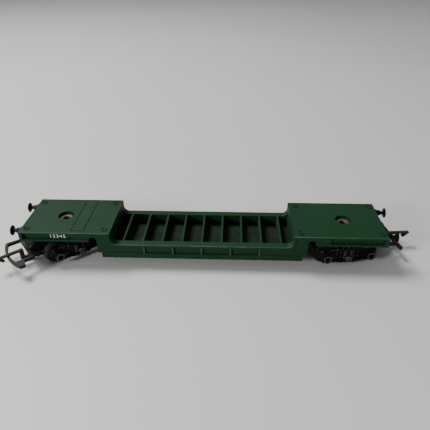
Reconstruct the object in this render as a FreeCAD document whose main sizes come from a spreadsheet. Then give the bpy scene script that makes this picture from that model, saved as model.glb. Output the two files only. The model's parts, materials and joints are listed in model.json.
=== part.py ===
"""A 4 mm scale (1:76) bogie well wagon: a moulded body with a sunken well, carried on two swivelling bogies.

Millimetres. +X runs along the wagon to its right end, +Y to its rear side and +Z up. The origin is
the middle of the wagon, at the level of the surface on which its wheel flanges stand.
Each bogie and its coupling are drawn in the bogie's own frame: the swivel axis at x = 0, +x outwards
to the coupling, and z = 0 at the same surface. A heading then turns that frame about the swivel.
"""

import FreeCAD, Part

import math
import os

import Sketcher

# ---------------------------------------------------------------------------------------------
# Driving dimensions
# ---------------------------------------------------------------------------------------------

DIMENSIONS = {
    # body, outside
    "body_length": 188.0,
    "body_width": 34.0,
    "deck_top": 20.3,
    "deck_under": 18.2,
    "deck_start": 46.75,
    "wall": 1.6,
    "side_wall": 2.0,
    "solebar_bottom": 14.94,
    "girder_bottom": 5.41,
    "girder_end": 52.0,
    "neck_end": 54.1,
    "neck_bottom": 8.1,
    "arch_radius": 2.0,
    "arch_centre_height": 15.6,
    # body, well
    "rail_top": 13.57,
    "rail_inner": 12.92,
    "rail_fillet": 3.0,
    "well_floor": 7.5,
    "floor_hollow": 0.7,
    "member_pitch": 10.27,
    "member_thickness": 1.0,
    "member_count": 9.0,
    # body, relief on the side faces and the decks
    "lip_depth": 0.5,
    "panel_depth": 1.0,
    "deck_lip": 0.9,
    "edge_strip": 1.2,
    "rib_pitch": 14.9,
    "rib_width": 0.9,
    "solebar_flange": 1.05,
    "solebar_recess": 1.3,
    "end_post": 1.8,
    "gusset_length": 11.4,
    "lashing_outer": 3.3,
    "lashing_inner": 2.1,
    "lashing_rise": 0.4,
    "lashing_inset_across": 3.9,
    "lashing_inset_inner": 3.65,
    "lashing_inset_outer": 2.9,
    "panel_inner": 60.5,
    "panel_outer": 67.4,
    "panel_front": 14.7,
    "panel_rear": 16.2,
    "groove_width": 0.35,
    "groove_depth": 0.25,
    "neck_overlap": 0.5,
    "worn_edge": 0.3,
    # bogie swivels
    "pivot_distance": 74.26,
    "left_heading": 220.0,
    "right_heading": 9.4,
    "well_hole": 8.2,
    "boss_width": 11.0,
    "boss_bottom": 14.2,
    "eyelet_shank": 4.6,
    "eyelet_bore": 3.5,
    "eyelet_flange": 7.5,
    "eyelet_rim": 0.6,
    "eyelet_roll": 0.4,
    "eyelet_foot_set": 0.5,
    "washer_thickness": 0.6,
    "washer_width": 10.0,
    "play": 0.05,
    # buffers
    "buffer_spacing": 23.0,
    "buffer_height": 17.8,
    "buffer_length": 6.0,
    "buffer_head": 5.4,
    "buffer_head_depth": 1.5,
    "buffer_rim_back": 0.85,
    "buffer_rim_front": 0.4,
    "buffer_spigot": 1.8,
    "buffer_shank": 1.9,
    "buffer_guide": 3.3,
    "buffer_guide_end": 2.8,
    "buffer_guide_length": 3.1,
    "buffer_flange": 4.3,
    "buffer_flange_length": 0.6,
    # wheelsets
    "wheelbase": 23.4,
    "flange_radius": 6.25,
    "tread_radius": 5.65,
    "back_to_back": 14.0,
    "flange_width": 0.85,
    "wheel_width": 2.7,
    "wheel_rim": 0.95,
    "wheel_dish": 0.6,
    "dish_slope": 0.3,
    "flange_round": 0.2,
    "flange_slope": 0.35,
    "tread_cone": 0.1,
    "tread_round": 0.2,
    "hub_radius": 1.9,
    "axle_diameter": 2.0,
    "axle_length": 26.4,
    "axle_point": 0.9,
    "axle_tip_radius": 0.3,
    "journal_clearance": 0.05,
    # bogie frame
    "frame_inner": 12.4,
    "frame_thickness": 1.2,
    "frame_end": 13.9,
    "frame_bottom": 3.2,
    "frame_shoulder": 8.6,
    "horn_tip": 15.1,
    "horn_root": 14.0,
    "horn_top": 11.5,
    "notch_along": 13.0,
    "notch_height": 9.6,
    "arch_shoulder": 10.2,
    "arch_top": 11.6,
    "frame_crown": 13.8,
    "crown_half": 5.2,
    "bar_depth": 1.0,
    "brace_foot": 5.9,
    "brace_head": 8.9,
    "brace_reach": 9.0,
    "window_base": 9.3,
    "window_end": 12.2,
    "column_outer": 5.1,
    "column_inner": 3.9,
    "box_width": 4.4,
    "box_height": 5.0,
    "box_outer": 14.3,
    "box_cover": 4.7,
    "box_cover_bore": 2.6,
    "box_cover_outer": 15.3,
    "bearing_depth": 1.0,
    "spring_diameter": 2.9,
    "spring_spacing": 3.5,
    "spring_bottom": 5.2,
    "spring_top": 10.4,
    "bolster_outer": 14.5,
    "bolster_half": 5.0,
    "bolster_bottom": 12.0,
    "bolster_end_height": 1.8,
    "beam_bottom": 7.6,
    "beam_top": 9.4,
    "spine_half": 5.7,
    "web_thickness": 1.1,
    "platform_start": 18.4,
    "platform_end": 22.6,
    "platform_half": 8.2,
    # coupling
    "loop_bottom": 6.5,
    "loop_height": 1.9,
    "loop_rear": 1.7,
    "loop_strip": 1.3,
    "loop_front_half": 12.4,
    "loop_arm_inner": 7.0,
    "loop_arm_outer": 8.2,
    "bowed_corner": 31.2,
    "bowed_front": 34.1,
    "bowed_side": 12.0,
    "bowed_side_strip": 0.95,
    "bowed_end": 28.5,
    "bowed_end_root": 27.9,
    "bowed_round": 0.9,
    "straight_bar": 28.3,
    "straight_set": 0.4,
    "straight_round": 0.3,
    "tongue_half": 3.0,
    "tongue_start": 16.2,
    "tongue_thickness": 0.7,
    "tongue_overlap": 0.3,
    "ear_inner": 0.95,
    "ear_outer": 1.75,
    "ear_start": 16.7,
    "ear_end": 19.7,
    "ear_bottom": 2.8,
    "hook_pin_along": 18.2,
    "hook_pin_height": 3.9,
    "hook_pin_diameter": 1.0,
    "hook_pin_length": 4.1,
    "hook_thickness": 1.7,
    "hook_eye": 2.3,
    "arm_rise": 0.7,
    "riser_chamfer": 0.6,
    "riser_foot_rise": 0.3,
    "riser_start": 25.7,
    "riser_end": 27.9,
    "riser_bottom": 2.7,
    "shank_top": 9.9,
    "shank_depth": 1.3,
    "shank_chamfer": 0.5,
    "tip_depth": 0.78,
    "tip_chamfer": 0.7,
    "hook_tip": 39.4,
    "hook_tip_top": 9.3,
    "barb_back": 35.5,
    "barb_bottom": 6.0,
    "barb_root": 37.3,
    "barb_width": 0.8,
    "barb_chamfer": 0.7,
    "rivet_along": 21.15,
    "rivet_shank": 1.6,
    "rivet_head": 2.8,
    "rivet_head_height": 0.6,
    "rivet_head_flat": 0.98,
    "rivet_head_shoulder": 0.45,
    "rivet_foot_flat": 1.12,
    "rivet_foot_height": 0.36,
}

doc = FreeCAD.newDocument("BogieWellWagon")
sheet = doc.addObject("Spreadsheet::Sheet", "Dims")
for row, (alias, number) in enumerate(DIMENSIONS.items(), start=1):
    sheet.set("A%d" % row, alias.replace("_", " "))
    sheet.set("B%d" % row, str(number))
    sheet.setAlias("B%d" % row, alias)
doc.recompute()


class Size:
    """A length with its present value and the expression on the sheet that drives it."""

    def __init__(self, value, text):
        self.value = value
        self.text = text

    def _combine(self, other, sign, value):
        text = other.text if isinstance(other, Size) else repr(other)
        return Size(value, "(%s %s %s)" % (self.text, sign, text))

    def __add__(self, other):
        return self._combine(other, "+", self.value + number_of(other))

    def __sub__(self, other):
        return self._combine(other, "-", self.value - number_of(other))

    def __mul__(self, other):
        return self._combine(other, "*", self.value * number_of(other))

    def __truediv__(self, other):
        return self._combine(other, "/", self.value / number_of(other))

    def __neg__(self):
        return Size(-self.value, "(0 - %s)" % self.text)


def number_of(item):
    return item.value if isinstance(item, Size) else item


def dim(alias):
    return Size(DIMENSIONS[alias], "Dims." + alias)


def root_of(size):
    return Size(math.sqrt(size.value), "sqrt(%s)" % size.text)


NOTHING = Size(0.0, "0")
WHOLE_TURN = 360.0
QUARTER_TURN = 90.0
TOUCHING = 1e-6

# ---------------------------------------------------------------------------------------------
# Sketches and features
# ---------------------------------------------------------------------------------------------

NODES = []


def new_body(label):
    """A PartDesign body whose label names the sub-part's file."""
    body = doc.addObject("PartDesign::Body", label)
    body.Label = label
    NODES.append(body)
    return body


def plane_of(body, role):
    return next(item for item in body.Origin.OriginFeatures if item.Role == role)


def new_sketch(body, role, name, offset=None):
    """A sketch on one of the body's own origin planes, moved along the plane's normal by offset."""
    sketch = body.newObject("Sketcher::SketchObject", name)
    sketch.AttachmentSupport = [(plane_of(body, role), "")]
    sketch.MapMode = "FlatFace"
    if offset is not None:
        sketch.AttachmentOffset = FreeCAD.Placement(
            FreeCAD.Vector(0, 0, offset.value), FreeCAD.Rotation()
        )
        sketch.setExpression("AttachmentOffset.Base.z", offset.text)
    return sketch


def bind(sketch, kind, places, size):
    """Adds a dimension to the sketch and ties it to the sheet."""
    index = sketch.addConstraint(Sketcher.Constraint(kind, *places, size.value))
    sketch.setExpression("Constraints[%d]" % index, size.text)


def locate(sketch, geometry, vertex, point):
    """Fixes a vertex of the sketch at point, measured from the sketch's origin."""
    for kind, size in zip(("DistanceX", "DistanceY"), point):
        bind(sketch, kind, (-1, 1, geometry, vertex), size)


def flat(point):
    return FreeCAD.Vector(number_of(point[0]), number_of(point[1]), 0)


def draw_outline(sketch, corners):
    """A closed outline. A corner is (x, y), or (x, y, centre) where an arc about centre starts."""
    count = len(corners)
    edges = []
    for index, corner in enumerate(corners):
        start, end = flat(corner), flat(corners[(index + 1) % count])
        if len(corner) == 2:
            edges.append((sketch.addGeometry(Part.LineSegment(start, end)), 1, 2))
            continue
        centre = flat(corner[2])
        turn = (start - centre).cross(end - centre).z
        circle = Part.Circle(centre, FreeCAD.Vector(0, 0, 1), (start - centre).Length)
        first, last = (start, end) if turn >= 0 else (end, start)
        angles = [math.atan2((p - centre).y, (p - centre).x) for p in (first, last)]
        arc = sketch.addGeometry(Part.ArcOfCircle(circle, angles[0], angles[1]))
        edges.append((arc, 1, 2) if turn >= 0 else (arc, 2, 1))
    for index, corner in enumerate(corners):
        edge, begin, finish = edges[index]
        following = edges[(index + 1) % count]
        joint = Sketcher.Constraint("Coincident", edge, finish, following[0], following[1])
        sketch.addConstraint(joint)
        locate(sketch, edge, begin, corner[:2])
        if len(corner) == 3:
            step = flat(corners[(index + 1) % count]) - flat(corner)
            axis = 1 if abs(step.x) > abs(step.y) else 0
            kind = ("DistanceX", "DistanceY")[axis]
            bind(sketch, kind, (-1, 1, edge, 3), corner[2][axis])


def draw_box(sketch, low_x, low_y, high_x, high_y):
    draw_outline(sketch, [(low_x, low_y), (high_x, low_y), (high_x, high_y), (low_x, high_y)])


def draw_circle(sketch, centre, diameter):
    circle = Part.Circle(flat(centre), FreeCAD.Vector(0, 0, 1), diameter.value / 2)
    index = sketch.addGeometry(circle)
    locate(sketch, index, 3, centre)
    bind(sketch, "Diameter", (index,), diameter)


def extrude(body, sketch, kind, name, length, reverse=False, both_ways=False):
    """A Pad or Pocket of the sketch. Its effect on the volume is compared before it is accepted."""
    doc.recompute()
    before = body.Shape.Volume if body.Tip else 0.0
    feature = body.newObject("PartDesign::" + kind, name)
    feature.Profile = sketch
    feature.Reversed = reverse
    if both_ways:
        feature.SideType = "Symmetric"
    feature.setExpression("Length", length.text)
    body.Tip = feature
    doc.recompute()
    change = feature.Shape.Volume - before
    if (change <= 0) == (kind == "Pad"):
        raise RuntimeError("%s changes nothing: %.4f" % (name, change))
    return feature


def pad(body, sketch, name, length, reverse=False, both_ways=False):
    return extrude(body, sketch, "Pad", name, length, reverse, both_ways)


def pocket(body, sketch, name, depth, reverse=False):
    return extrude(body, sketch, "Pocket", name, depth, reverse)


def mirror(body, originals, role, name):
    """Repeats features on the other side of one of the body's origin planes."""
    feature = body.newObject("PartDesign::Mirrored", name)
    feature.Originals = originals
    feature.MirrorPlane = (plane_of(body, role), [""])
    body.Tip = feature
    doc.recompute()
    return feature


def revolve(body, corners, name, axis="V_Axis"):
    """A solid of revolution: corners are (x, y) in the XY plane, turned about one of its axes."""
    sketch = new_sketch(body, "XY_Plane", name + "_profile")
    draw_outline(sketch, corners)
    feature = body.newObject("PartDesign::Revolution", name)
    feature.Profile = sketch
    feature.ReferenceAxis = (sketch, [axis])
    feature.Angle = WHOLE_TURN
    body.Tip = feature
    doc.recompute()
    return feature


def soften(body, name, radius, chosen):
    """Rounds the edges of the body for which chosen(edge) is true."""
    base = body.Tip
    names = ["Edge%d" % (n + 1) for n, edge in enumerate(base.Shape.Edges) if chosen(edge)]
    feature = body.newObject("PartDesign::Fillet", name)
    feature.Base = (base, names)
    feature.Radius = radius.value
    feature.setExpression("Radius", radius.text)
    body.Tip = feature
    doc.recompute()
    return feature


def place(body, position, heading=None, quarter_turns=0):
    """Puts a sub-part at position, turned about +Z by heading degrees and then quarter turns."""
    turn = heading.value if heading else 0.0
    angle = turn + QUARTER_TURN * quarter_turns
    rotation = FreeCAD.Rotation(FreeCAD.Vector(0, 0, 1), angle)
    body.Placement = FreeCAD.Placement(FreeCAD.Vector(*map(number_of, position)), rotation)
    for letter, size in zip("xyz", position):
        body.setExpression("Placement.Base." + letter, size.text)
    if heading:
        text = "(%s + %g) * 1 deg" % (heading.text, QUARTER_TURN * quarter_turns)
        body.setExpression("Placement.Rotation.Angle", text)


# ---------------------------------------------------------------------------------------------
# The wagon's body
# ---------------------------------------------------------------------------------------------

HALF_LENGTH = dim("body_length") / 2
HALF_WIDTH = dim("body_width") / 2
BOTH_SIGNS = (-1, 1)


def side_silhouette():
    """The right half of the body's side view, from its bottom middle round to its top middle."""
    arch = dim("neck_end") + dim("arch_radius")
    fillet = dim("deck_start") - dim("rail_fillet")
    return [
        (dim("girder_end"), dim("girder_bottom")),
        (dim("girder_end"), dim("neck_bottom")),
        (dim("neck_end"), dim("neck_bottom")),
        (dim("neck_end"), dim("arch_centre_height"), (arch, dim("arch_centre_height"))),
        (arch, dim("arch_centre_height") + dim("arch_radius"), (arch, dim("arch_centre_height"))),
        (arch + dim("arch_radius"), dim("arch_centre_height")),
        (arch + dim("arch_radius"), dim("solebar_bottom")),
        (HALF_LENGTH, dim("solebar_bottom")),
        (HALF_LENGTH, dim("deck_top")),
        (dim("deck_start"), dim("deck_top")),
        (
            dim("deck_start"),
            dim("rail_top") + dim("rail_fillet"),
            (fillet, dim("rail_top") + dim("rail_fillet")),
        ),
        (fillet, dim("rail_top")),
    ]


def mirrored_corners(corners):
    """The same corners on the other side of x = 0, in the order that closes the outline."""
    turned = []
    count = len(corners)
    for index in reversed(range(count)):
        point = corners[index][:2]
        previous = corners[index - 1] if index > 0 else None
        corner = (-point[0], point[1])
        if previous is not None and len(previous) == 3:
            corner += ((-previous[2][0], previous[2][1]),)
        turned.append(corner)
    return turned


def girder_panels(sketch):
    """The two deep panels of the girder on the right half of a side face, with a rib after each."""
    half_rib = dim("rib_width") / 2
    low, high = dim("neck_bottom"), dim("rail_top") - dim("edge_strip")
    for rib in (0, 1):
        start = dim("rib_pitch") * rib + half_rib
        end = dim("rib_pitch") * (rib + 1) - half_rib
        draw_box(sketch, start, low, end, high)


def side_relief(sketch):
    """The shallow relief of a side face outside its ribs: the girder's end, the neck and the solebar."""
    half_rib = dim("rib_width") / 2
    low, high = dim("neck_bottom"), dim("rail_top") - dim("edge_strip")
    solebar = dim("solebar_bottom") + dim("solebar_flange")
    lip = dim("deck_top") - dim("deck_lip")
    strip = dim("deck_start") + dim("edge_strip")
    bend = (dim("deck_start") - dim("rail_fillet"), dim("rail_top") + dim("rail_fillet"))
    draw_outline(
        sketch,
        [
            (dim("rib_pitch") * 2 + half_rib, low),
            (dim("neck_end") + dim("neck_overlap"), low),
            (dim("neck_end") + dim("neck_overlap"), solebar),
            (HALF_LENGTH - dim("end_post"), solebar),
            (HALF_LENGTH - dim("end_post"), lip),
            (strip, lip),
            (strip, bend[1], bend),
            (bend[0], high),
            (dim("rib_pitch") * 2 + half_rib, high),
        ],
    )


def solebar_channel(sketch):
    """The deeper channel of the solebar, with a round end towards the neck."""
    low = dim("solebar_bottom") + dim("solebar_flange")
    high = dim("deck_top") - dim("deck_lip")
    radius = (high - low) / 2
    middle = low + radius
    start = dim("neck_end") + dim("gusset_length")
    centre = (start + radius, middle)
    outer = HALF_LENGTH - dim("end_post")
    draw_outline(
        sketch,
        [
            (outer, low),
            (outer, high),
            (start + radius, high, centre),
            (start, middle, centre),
            (start + radius, low),
        ],
    )


def deck_rings(sketch):
    """Four lashing rings on each deck, near its corners."""
    across = HALF_WIDTH - dim("lashing_inset_across")
    places = (
        dim("deck_start") + dim("lashing_inset_inner"),
        HALF_LENGTH - dim("lashing_inset_outer"),
    )
    for along in places:
        for x in (along, -along):
            for y in (across, -across):
                draw_circle(sketch, (x, y), dim("lashing_outer"))
                draw_circle(sketch, (x, y), dim("lashing_inner"))


def pivot_circles(body, name, height, diameter):
    """A sketch with a circle on each bogie's swivel axis."""
    sketch = new_sketch(body, "XY_Plane", name, height)
    for x in (dim("pivot_distance"), -dim("pivot_distance")):
        draw_circle(sketch, (x, NOTHING), diameter)
    return sketch


def on_outline(edge):
    """True for the body's outer edges along the decks and the rails, which handling has softened."""
    box = edge.BoundBox
    level = box.ZLength < TOUCHING
    deck = abs(box.ZMin - DIMENSIONS["deck_top"]) < TOUCHING
    rail = abs(box.ZMin - DIMENSIONS["rail_top"]) < TOUCHING and box.XLength > DIMENSIONS["deck_start"]
    outside = abs(max(abs(box.YMin), abs(box.YMax)) - HALF_WIDTH.value) < TOUCHING
    at_end = abs(abs(box.XMin) - HALF_LENGTH.value) < TOUCHING and box.XLength < TOUCHING
    along_side = outside and box.YLength < TOUCHING
    return level and ((deck and (along_side or at_end)) or (rail and along_side))


def build_wagon_body():
    body = new_body("wagon_body")
    right = side_silhouette()
    outline = new_sketch(body, "XZ_Plane", "side_view")
    draw_outline(outline, right + mirrored_corners(right))
    pad(body, outline, "solid_body", dim("body_width"), both_ways=True)

    well = new_sketch(body, "XY_Plane", "well_plan", dim("deck_top"))
    draw_box(well, -dim("deck_start"), -dim("rail_inner"), dim("deck_start"), dim("rail_inner"))
    pocket(body, well, "well", dim("deck_top") - dim("well_floor"))

    under = new_sketch(body, "XY_Plane", "underside_plan", dim("girder_bottom"))
    inner = dim("deck_start") + dim("wall")
    outer = HALF_LENGTH - dim("wall")
    side = HALF_WIDTH - dim("side_wall")
    draw_box(under, inner, -side, outer, side)
    draw_box(under, -outer, -side, -inner, side)
    pocket(body, under, "bogie_bays", dim("deck_under") - dim("girder_bottom"), reverse=True)

    tray = new_sketch(body, "XY_Plane", "tray_plan", dim("girder_bottom"))
    draw_box(tray, -dim("deck_start"), -dim("rail_inner"), dim("deck_start"), dim("rail_inner"))
    pocket(body, tray, "hollow_under_floor", dim("floor_hollow"), reverse=True)

    member = new_sketch(body, "XY_Plane", "member_plan", dim("well_floor"))
    steps = (dim("member_count") - 1) / 2
    first = -(dim("member_pitch") * steps)
    half = dim("member_thickness") / 2
    draw_box(member, first - half, -dim("rail_inner"), first + half, dim("rail_inner"))
    cross = pad(body, member, "cross_member", dim("rail_top") - dim("well_floor"))
    row = body.newObject("PartDesign::LinearPattern", "cross_members")
    row.Originals = [cross]
    row.Direction = (member, ["H_Axis"])
    row.setExpression("Length", (dim("member_pitch") * (dim("member_count") - 1)).text)
    row.setExpression("Occurrences", dim("member_count").text)
    body.Tip = row
    doc.recompute()

    bosses = pivot_circles(body, "boss_plan", dim("boss_bottom"), dim("boss_width"))
    pad(body, bosses, "swivel_bosses", dim("deck_under") - dim("boss_bottom"))
    bores = pivot_circles(body, "bore_plan", dim("deck_top"), dim("eyelet_shank"))
    pocket(body, bores, "swivel_bores", dim("deck_top") - dim("boss_bottom"))
    sinks = pivot_circles(body, "sink_plan", dim("deck_top"), dim("well_hole"))
    pocket(body, sinks, "eyelet_wells", dim("deck_top") - dim("deck_under"))

    cut_side_relief(body, "front", HALF_WIDTH, False)
    return body


def cut_side_relief(body, face, distance, reverse):
    """Sinks the girder's panels, the neck and the solebar's channel into one side face."""
    for name, draw, depth in (
        ("panels", girder_panels, dim("panel_depth")),
        ("relief", side_relief, dim("lip_depth")),
        ("channel", solebar_channel, dim("solebar_recess")),
    ):
        sketch = new_sketch(body, "XZ_Plane", "%s_%s_view" % (face, name), distance)
        draw(sketch)
        cut = pocket(body, sketch, "%s_%s" % (face, name), depth, reverse)
        mirror(body, [cut], "YZ_Plane", "%s_%s_left" % (face, name))


def finish_wagon_body(body):
    """The rear face's relief, the decks' small details and the holes for the buffers."""
    cut_side_relief(body, "rear", -HALF_WIDTH, True)

    soften(body, "worn_edges", dim("worn_edge"), on_outline)

    lid = new_sketch(body, "XY_Plane", "lid_plan", dim("deck_top"))
    step = dim("groove_width")
    draw_box(
        lid, -dim("panel_outer"), -dim("panel_front"), -dim("panel_inner"), dim("panel_rear")
    )
    draw_box(
        lid,
        step - dim("panel_outer"),
        step - dim("panel_front"),
        -dim("panel_inner") - step,
        dim("panel_rear") - step,
    )
    pocket(body, lid, "lid_groove", dim("groove_depth"))
    rings = new_sketch(body, "XY_Plane", "ring_plan", dim("deck_top"))
    deck_rings(rings)
    pad(body, rings, "lashing_rings", dim("lashing_rise"))

    holes = new_sketch(body, "YZ_Plane", "buffer_hole_plan", HALF_LENGTH)
    for y in (dim("buffer_spacing") / 2, -(dim("buffer_spacing") / 2)):
        draw_circle(holes, (y, dim("buffer_height")), dim("buffer_spigot"))
    sockets = pocket(body, holes, "buffer_holes", dim("wall"))
    mirror(body, [sockets], "YZ_Plane", "left_buffer_holes")


# ---------------------------------------------------------------------------------------------
# Buffers, swivels and wheelsets
# ---------------------------------------------------------------------------------------------


def build_buffer(label, x, y, quarter_turns):
    """A buffer turned in one piece. It is drawn along +x from the headstock's face."""
    body = new_body(label)
    head = dim("buffer_length")
    shank = dim("buffer_shank") / 2
    corners = [
        (-dim("wall"), NOTHING),
        (-dim("wall"), dim("buffer_spigot") / 2),
        (NOTHING, dim("buffer_spigot") / 2),
        (NOTHING, dim("buffer_flange") / 2),
        (dim("buffer_flange_length"), dim("buffer_flange") / 2),
        (dim("buffer_flange_length"), dim("buffer_guide") / 2),
        (dim("buffer_guide_length"), dim("buffer_guide_end") / 2),
        (dim("buffer_guide_length"), shank),
        (head - dim("buffer_head_depth"), shank),
        (head - dim("buffer_rim_back"), dim("buffer_head") / 2),
        (head - dim("buffer_rim_front"), dim("buffer_head") / 2),
        (head, NOTHING),
    ]
    revolve(body, corners, "turned_buffer", "H_Axis")
    place(body, (x, y, dim("buffer_height")), NOTHING if quarter_turns else None, quarter_turns)


def ring_profile(inner, outer, low, high):
    return [(inner, low), (outer, low), (outer, high), (inner, high)]


def build_turned_about_z(label, corners, x):
    """A ring or rivet whose axis is upright: its profile is drawn as (radius, height)."""
    body = new_body(label)
    sketch = new_sketch(body, "XZ_Plane", "profile")
    draw_outline(sketch, corners)
    feature = body.newObject("PartDesign::Revolution", "turned")
    feature.Profile = sketch
    feature.ReferenceAxis = (sketch, ["V_Axis"])
    feature.Angle = WHOLE_TURN
    body.Tip = feature
    doc.recompute()
    place(body, (x, NOTHING, NOTHING))


def eyelet_profile():
    """A hollow rivet: a flange in the deck's sink, a shank through the bogie, and a rolled foot."""
    bore, shank = dim("eyelet_bore") / 2, dim("eyelet_shank") / 2
    flange, rim = dim("eyelet_flange") / 2, dim("eyelet_rim")
    foot = dim("bolster_bottom") - dim("play")
    lip, roll = flange - dim("eyelet_foot_set"), dim("eyelet_roll")
    return [
        (bore, foot - rim),
        (lip, foot - rim),
        (lip, foot),
        (shank, foot),
        (shank, dim("deck_under")),
        (flange, dim("deck_under")),
        (flange, dim("deck_under") + rim / 2),
        (flange - roll, dim("deck_under") + rim),
        (bore + roll, dim("deck_under") + rim),
        (bore, dim("deck_under") + rim / 2),
    ]


def washer_profile():
    low = dim("boss_bottom") - dim("washer_thickness")
    inner = dim("eyelet_shank") / 2
    return ring_profile(inner, dim("washer_width") / 2, low, dim("boss_bottom"))


def axle_profile():
    """A pinpoint axle as (radius, distance along it)."""
    radius, end = dim("axle_diameter") / 2, dim("axle_length") / 2
    shoulder = end - dim("axle_point")
    return [
        (NOTHING, -end),
        (dim("axle_tip_radius"), -end),
        (radius, -shoulder),
        (radius, shoulder),
        (dim("axle_tip_radius"), end),
        (NOTHING, end),
    ]


def wheel_profile():
    """A disc wheel as (radius, distance out from the middle of the axle)."""
    back = dim("back_to_back") / 2
    flange, face = back + dim("flange_width"), back + dim("wheel_width")
    bore, hub, crown = dim("axle_diameter") / 2, dim("hub_radius"), dim("flange_radius")
    tread, dish = dim("tread_radius"), face - dim("wheel_dish")
    rim = tread - dim("wheel_rim")
    return [
        (bore, back),
        (crown - dim("flange_round"), back),
        (crown, back + dim("flange_round")),
        (crown, flange - dim("flange_slope")),
        (tread + dim("tread_cone"), flange),
        (tread - dim("tread_cone"), face - dim("tread_round")),
        (tread - dim("tread_round"), face),
        (rim, face),
        (rim - dim("dish_slope"), dish),
        (hub + dim("dish_slope"), dish),
        (hub, face),
        (bore, face),
    ]


def along_bogie(heading, side, along):
    """Where a point on the bogie's centre line lies in the wagon's frame."""
    turn = math.radians(heading.value)
    text = "(%s * 1 deg)" % heading.text
    cosine = Size(math.cos(turn), "cos" + text)
    sine = Size(math.sin(turn), "sin" + text)
    pivot = dim("pivot_distance") * side
    return pivot + cosine * along, sine * along


def build_wheelset(bogie, position, side, heading, reach):
    """An axle with two wheels. reach is its distance out along the bogie."""
    name = "%s_%s" % (bogie, position)
    x, y = along_bogie(heading, side, reach)
    centre = (x, y, dim("flange_radius"))
    axle = new_body(name + "_axle")
    revolve(axle, axle_profile(), "turned_axle")
    place(axle, centre, heading)
    for end, half_turns in (("a", 0), ("b", 2)):
        wheel = new_body("%s_wheel_%s" % (name, end))
        revolve(wheel, wheel_profile(), "turned_wheel")
        place(wheel, centre, heading, half_turns)


# ---------------------------------------------------------------------------------------------
# Bogie frames
# ---------------------------------------------------------------------------------------------


def both_signs(corners):
    """An outline and its mirror image in x = 0, for details that come in pairs."""
    return [corners, [(-x, z) for x, z in reversed(corners)]]


def bogie_side_view(sketch):
    """The arch-bar side: bars and braces between two axle boxes, with a horn over each end."""
    low, arch, crown = dim("frame_bottom"), dim("arch_top"), dim("crown_half")
    right = [
        (dim("frame_end"), low),
        (dim("frame_end"), dim("frame_shoulder")),
        (dim("horn_tip"), dim("horn_top")),
        (dim("horn_root"), dim("horn_top")),
        (dim("notch_along"), dim("notch_height")),
        (dim("arch_shoulder"), arch),
        (crown, arch),
        (crown, dim("frame_crown")),
    ]
    left = [(-x, z) for x, z in reversed(right)]
    draw_outline(sketch, right + left)
    bar, column, reach = dim("bar_depth"), dim("column_outer"), dim("brace_reach")
    box = dim("wheelbase") / 2 - dim("box_width") / 2
    over_brace = [
        (column, dim("brace_foot")),
        (reach, dim("brace_head")),
        (reach, arch - bar),
        (column, arch - bar),
    ]
    over_box = [
        (reach + bar, dim("window_base")),
        (dim("window_end"), dim("window_base")),
        (reach + bar, arch - bar),
    ]
    under_brace = [(column, low + bar), (box, low + bar), (box, dim("brace_head") - bar)]
    for window in both_signs(over_brace) + both_signs(over_box) + both_signs(under_brace):
        draw_outline(sketch, window)
    inner = dim("column_inner")
    draw_box(sketch, -inner, dim("spring_bottom"), inner, dim("spring_top"))


def side_feature(body, name, draw, inner, outer):
    """Pads the outline that draw puts in a side sketch, from inner to outer, on both sides."""
    sketch = new_sketch(body, "XZ_Plane", name + "_view", inner)
    draw(sketch)
    feature = pad(body, sketch, name, outer - inner)
    return mirror(body, [feature], "XZ_Plane", name + "_rear")


def draw_axle_boxes(sketch):
    half = dim("box_width") / 2
    low = dim("flange_radius") - dim("box_height") / 2
    for sign in BOTH_SIGNS:
        middle = dim("wheelbase") / 2 * sign
        draw_box(sketch, middle - half, low, middle + half, low + dim("box_height"))


def draw_box_covers(sketch):
    for sign in BOTH_SIGNS:
        middle = dim("wheelbase") / 2 * sign
        draw_circle(sketch, (middle, dim("flange_radius")), dim("box_cover"))
        draw_circle(sketch, (middle, dim("flange_radius")), dim("box_cover_bore"))


def draw_bolster_ends(sketch):
    half = dim("column_outer")
    low = dim("spring_top")
    draw_box(sketch, -half, low, half, low + dim("bolster_end_height"))
    draw_box(sketch, -half, dim("frame_bottom"), half, dim("spring_bottom"))


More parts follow.
